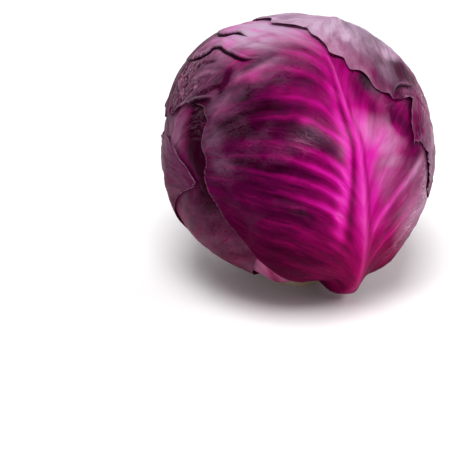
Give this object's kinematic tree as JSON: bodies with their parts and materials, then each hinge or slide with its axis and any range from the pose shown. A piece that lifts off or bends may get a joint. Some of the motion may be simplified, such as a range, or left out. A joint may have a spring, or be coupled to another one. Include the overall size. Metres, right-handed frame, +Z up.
{
  "type": "red cabbage",
  "caption": "Whole round red cabbage head with overlapping waxy wrapper leaves, raised midribs and a short cut stem that it rests on.",
  "frame": {"origin": "middle of the stem's cut face, which is the flat spot that the head rests on", "axes": "+Z up through the head from the cut stem; -Y towards the front leaf with the strong midrib; +X to the right"},
  "size_m": [0.1506, 0.1507, 0.1518],
  "materials": {
    "leaf": "waxy purple leaf skin with a pale bloom and magenta ribs",
    "heart": "smooth purple inner leaf",
    "stem": "fresh pale cut stem, slightly fibrous"
  },
  "bodies": {
    "root": {"stem": "stem", "heart": "heart", "wrapper_leaf_1": "leaf", "wrapper_leaf_2": "leaf", "wrapper_leaf_3": "leaf", "wrapper_leaf_4": "leaf", "wrapper_leaf_5": "leaf", "wrapper_leaf_6": "leaf", "wrapper_leaf_7": "leaf", "wrapper_leaf_8": "leaf"}
  },
  "joints": []
}
